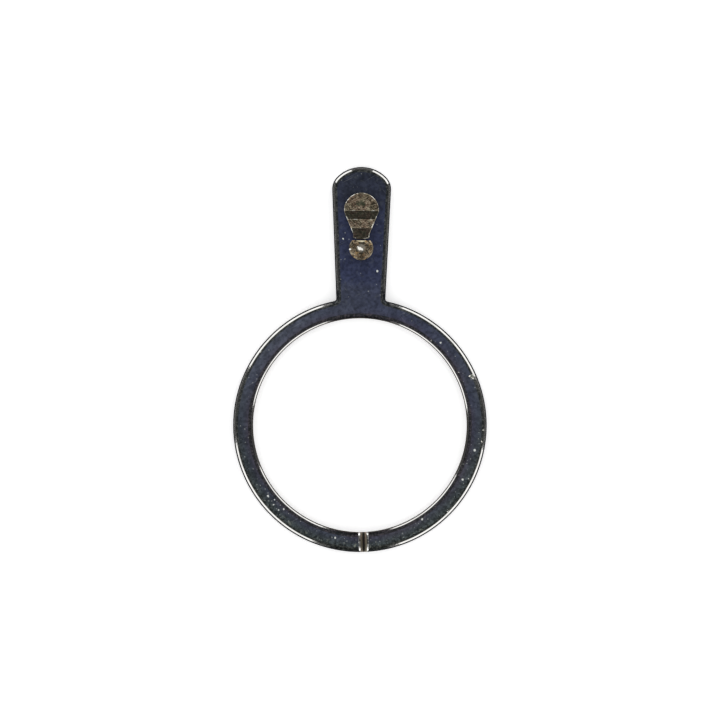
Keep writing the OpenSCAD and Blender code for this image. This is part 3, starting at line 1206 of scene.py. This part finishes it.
def draw_shank(bm):
    pen_line(
        bm, pen_down(bm, (0, 0)),
        (SHANK_RIVET_R, 0), (SHANK_R, SHANK_RIVET_H), (SHANK_R, shank_top), (0, shank_top),
    )


combine(boot, solid("shank", lathe(draw_shank), boot_brass), "UNION")
soften_edges(boot, CORNER, shank_top)
boot.data.transform(Matrix.Translation((0, boot_y, 0)))
finish_piece(boot, "boot", "boot")

# %% [markdown]
# ## The curb pin
#
# The pin stands across the hairspring from the boot. It is turned with a domed end, flatted on
# the side of the spring, pressed into the plate and riveted at the back. The dome and its rounded
# rim are two arcs that meet without a corner, so the rim's centre is worked out from the dome's.

# %% Turn the pin
DOME_H = 0.07
RIM_ROUND = 0.014

pin_top = pin_high.z
dome_r = (pin_r**2 + DOME_H**2) / (2 * DOME_H)
dome_centre = Vector((0, pin_top - dome_r))
rim_x = pin_r - RIM_ROUND
rim_centre = dome_centre + Vector((rim_x, math.sqrt((dome_r - RIM_ROUND) ** 2 - rim_x**2)))
rim_turn = heading(rim_centre - dome_centre)
flat_turn = math.degrees(math.asin(PIN_FLAT / pin_r))


def draw_pin(bm):
    pen = pen_line(
        bm, pen_down(bm, (0, 0)),
        (TAIL_RIVET_R, 0), (TAIL_R, TAIL_RIVET_H), (TAIL_R, plate_t), (pin_r, plate_t),
        (pin_r, rim_centre.y),
    )
    pen = pen_arc(bm, pen, rim_centre, rim_turn, 12)
    pen_arc(bm, pen, dome_centre, 90 - rim_turn, 3)


turned_pin = lathe(draw_pin, (flat_turn, 180 - flat_turn, 360 + flat_turn))
curb_pin = solid("brass_curb_pin", turned_pin, pin_brass)
print(f"pin {2 * pin_r:.3f} mm thick, dome {DOME_H} mm high with a radius of {dome_r:.3f} mm")

# %% [markdown]
# The flat is a plain cut. A file then takes off the corner between the flat and the dome, which
# is the bright line that the photograph shows beside the foot of the boot.

# %% Flat the pin and break the corner
CHAMFER_W = 0.026
CHAMFER_TILT = 40

flat = box((-2 * pin_r, PIN_FLAT, plate_t - PAST), (2 * pin_r, 2 * pin_r, pin_top + PAST))
cut(curb_pin, flat, pin_brass)
corner_y = PIN_FLAT - CHAMFER_W
corner_z = dome_centre.y + math.sqrt(dome_r**2 - corner_y**2)
file_bm = box((-pin_r - PAST, 0, 0), (pin_r + PAST, pin_r, pin_r))
file_turn = Matrix.Rotation(-math.radians(CHAMFER_TILT), 4, "X")
file_place = Matrix.Translation((0, corner_y, corner_z)) @ file_turn
bmesh.ops.transform(file_bm, matrix=file_place, verts=file_bm.verts)
cut(curb_pin, file_bm, filed_brass)
curb_pin.data.transform(Matrix.Translation((0, pin_y, 0)))
finish_piece(curb_pin, "index", "curb_pin")

# %% [markdown]
# ## Camera
#
# The photograph looks straight down, and no wall of the ring shows in it, so the camera stands far
# up with a long lens. Two things were measured in the picture: how many pixels go to a millimetre,
# which gives the camera's height, and where the middle of the ring lies, which gives the point that
# it stands over. A slight roll turns the arm as in the picture.

# %% Camera
FRAME_PX = 720
PX_PER_MM = 63.5
RING_PX = Vector((359.9, 425.3))
ROLL = 0.42
LENS = 400
SENSOR = 36

frame_w = FRAME_PX / PX_PER_MM
left_of_ring = (FRAME_PX / 2 - RING_PX.x) / PX_PER_MM
above_ring = (RING_PX.y - FRAME_PX / 2) / PX_PER_MM
aim = left_of_ring * direction(ROLL) + above_ring * direction(ROLL + 90)
camera_data = bpy.data.cameras.new("camera")
camera_data.lens = LENS
camera_data.sensor_width = SENSOR
camera_data.clip_start = 0.001
camera_data.clip_end = 10
camera = put_in_scene("camera", camera_data)
camera.location = Vector((aim.x, aim.y, plate_t + frame_w * LENS / SENSOR)) * MM
camera.rotation_euler = (0, 0, math.radians(ROLL))
bpy.context.scene.camera = camera
print(f"camera {camera.location.z / MM:.0f} mm up, sees {frame_w:.2f} mm")

# %% [markdown]
# ## Floor
#
# The part lies on white paper. The paper is a wide plain sheet that takes the part's shadow. A
# little light of its own, seen only by the camera and in reflections, keeps it white up to the edge
# of the part, as in the photograph, without any more light on the object.

# %% Floor
FLOOR_HALF = 0.5
PAPER = (0.86, 0.86, 0.86, 1)
PAPER_GLOW = 0.4

floor_bm = bmesh.new()
bmesh.ops.create_grid(floor_bm, x_segments=1, y_segments=1, size=FLOOR_HALF)
floor = solid("floor", floor_bm)

paper = NodeKit("floor_paper")
paper.shader["Base Color"].default_value = PAPER
paper.shader["Roughness"].default_value = 1
paper.shader["Emission Color"].default_value = (1, 1, 1, 1)
rays = paper.add("ShaderNodeLightPath", {}).outputs
seen = paper.either(rays["Is Camera Ray"], rays["Is Glossy Ray"])
seen = paper.either(seen, rays["Is Transmission Ray"])
paper.link("Emission Strength", paper.times(seen, PAPER_GLOW))
floor.data.materials.append(paper.material)
print(f"paper {2 * FLOOR_HALF:.0f} m wide")

# %% [markdown]
# ## Light
#
# The white lines on the rounded edge show where the lamps stood: four low windows of light round
# the part, with gaps between them. A wide soft box overhead lights the flat face. Each light is
# set by its radiance, the brightness of its surface, because that is what polished metal shows.

# %% Lamps
LAMP_FAR = 0.5
LAMP_TOP = 40
LAMP_RADIANCE = 2.2
LOW_LAMPS = (
    # name, azimuth and half the width, seen from the part in degrees
    ("lamp_back_right", 47, 24),
    ("lamp_back_left", 130.2, 22.8),
    ("lamp_front_left", 219, 30),
    ("lamp_front_right", 318.5, 30.5),
)
SOFTBOX_FAR = 0.4
SOFTBOX_HALF = 45
SOFTBOX_RADIANCE = 0.88


def area_light(name, shape, width, height, radiance):
    """An area light, one-sided and evenly bright, given by the radiance of its surface."""
    data = bpy.data.lights.new(name, "AREA")
    data.shape = shape
    data.size = width
    data.size_y = height
    area = width * height if shape == "RECTANGLE" else math.pi * (width / 2) ** 2
    data.energy = radiance * math.pi * area
    light = put_in_scene(name, data)
    light.visible_camera = False
    return light


for name, azimuth, half_width in LOW_LAMPS:
    width = 2 * LAMP_FAR * math.tan(math.radians(half_width))
    height = LAMP_FAR * math.tan(math.radians(LAMP_TOP))
    lamp = area_light(name, "RECTANGLE", width, height, LAMP_RADIANCE)
    away = direction(azimuth)
    lamp.location = away * LAMP_FAR + UP * height / 2
    lamp.rotation_euler = (-away).to_track_quat("-Z", "Y").to_euler()

softbox_w = 2 * SOFTBOX_FAR * math.tan(math.radians(SOFTBOX_HALF))
softbox = area_light("softbox", "DISK", softbox_w, softbox_w, SOFTBOX_RADIANCE)
softbox.location = UP * SOFTBOX_FAR
print(f"{len(LOW_LAMPS)} low lamps and a soft box {softbox_w:.1f} m wide")

# %% [markdown]
# A dim, even world fills the gaps between the lamps. With the soft box it adds up to 1 on the flat
# face, so a colour renders about as it is written, and the Standard view shows it unchanged.

# %% World and view
WORLD_RADIANCE = 0.12

world = bpy.data.worlds.new("world")
bpy.context.scene.world = world
world.use_nodes = True
background = world.node_tree.nodes["Background"]
background.inputs["Color"].default_value = (1, 1, 1, 1)
background.inputs["Strength"].default_value = WORLD_RADIANCE
bpy.context.scene.view_settings.view_transform = "Standard"
print(f"level on the face: {SOFTBOX_RADIANCE + WORLD_RADIANCE:.2f}")
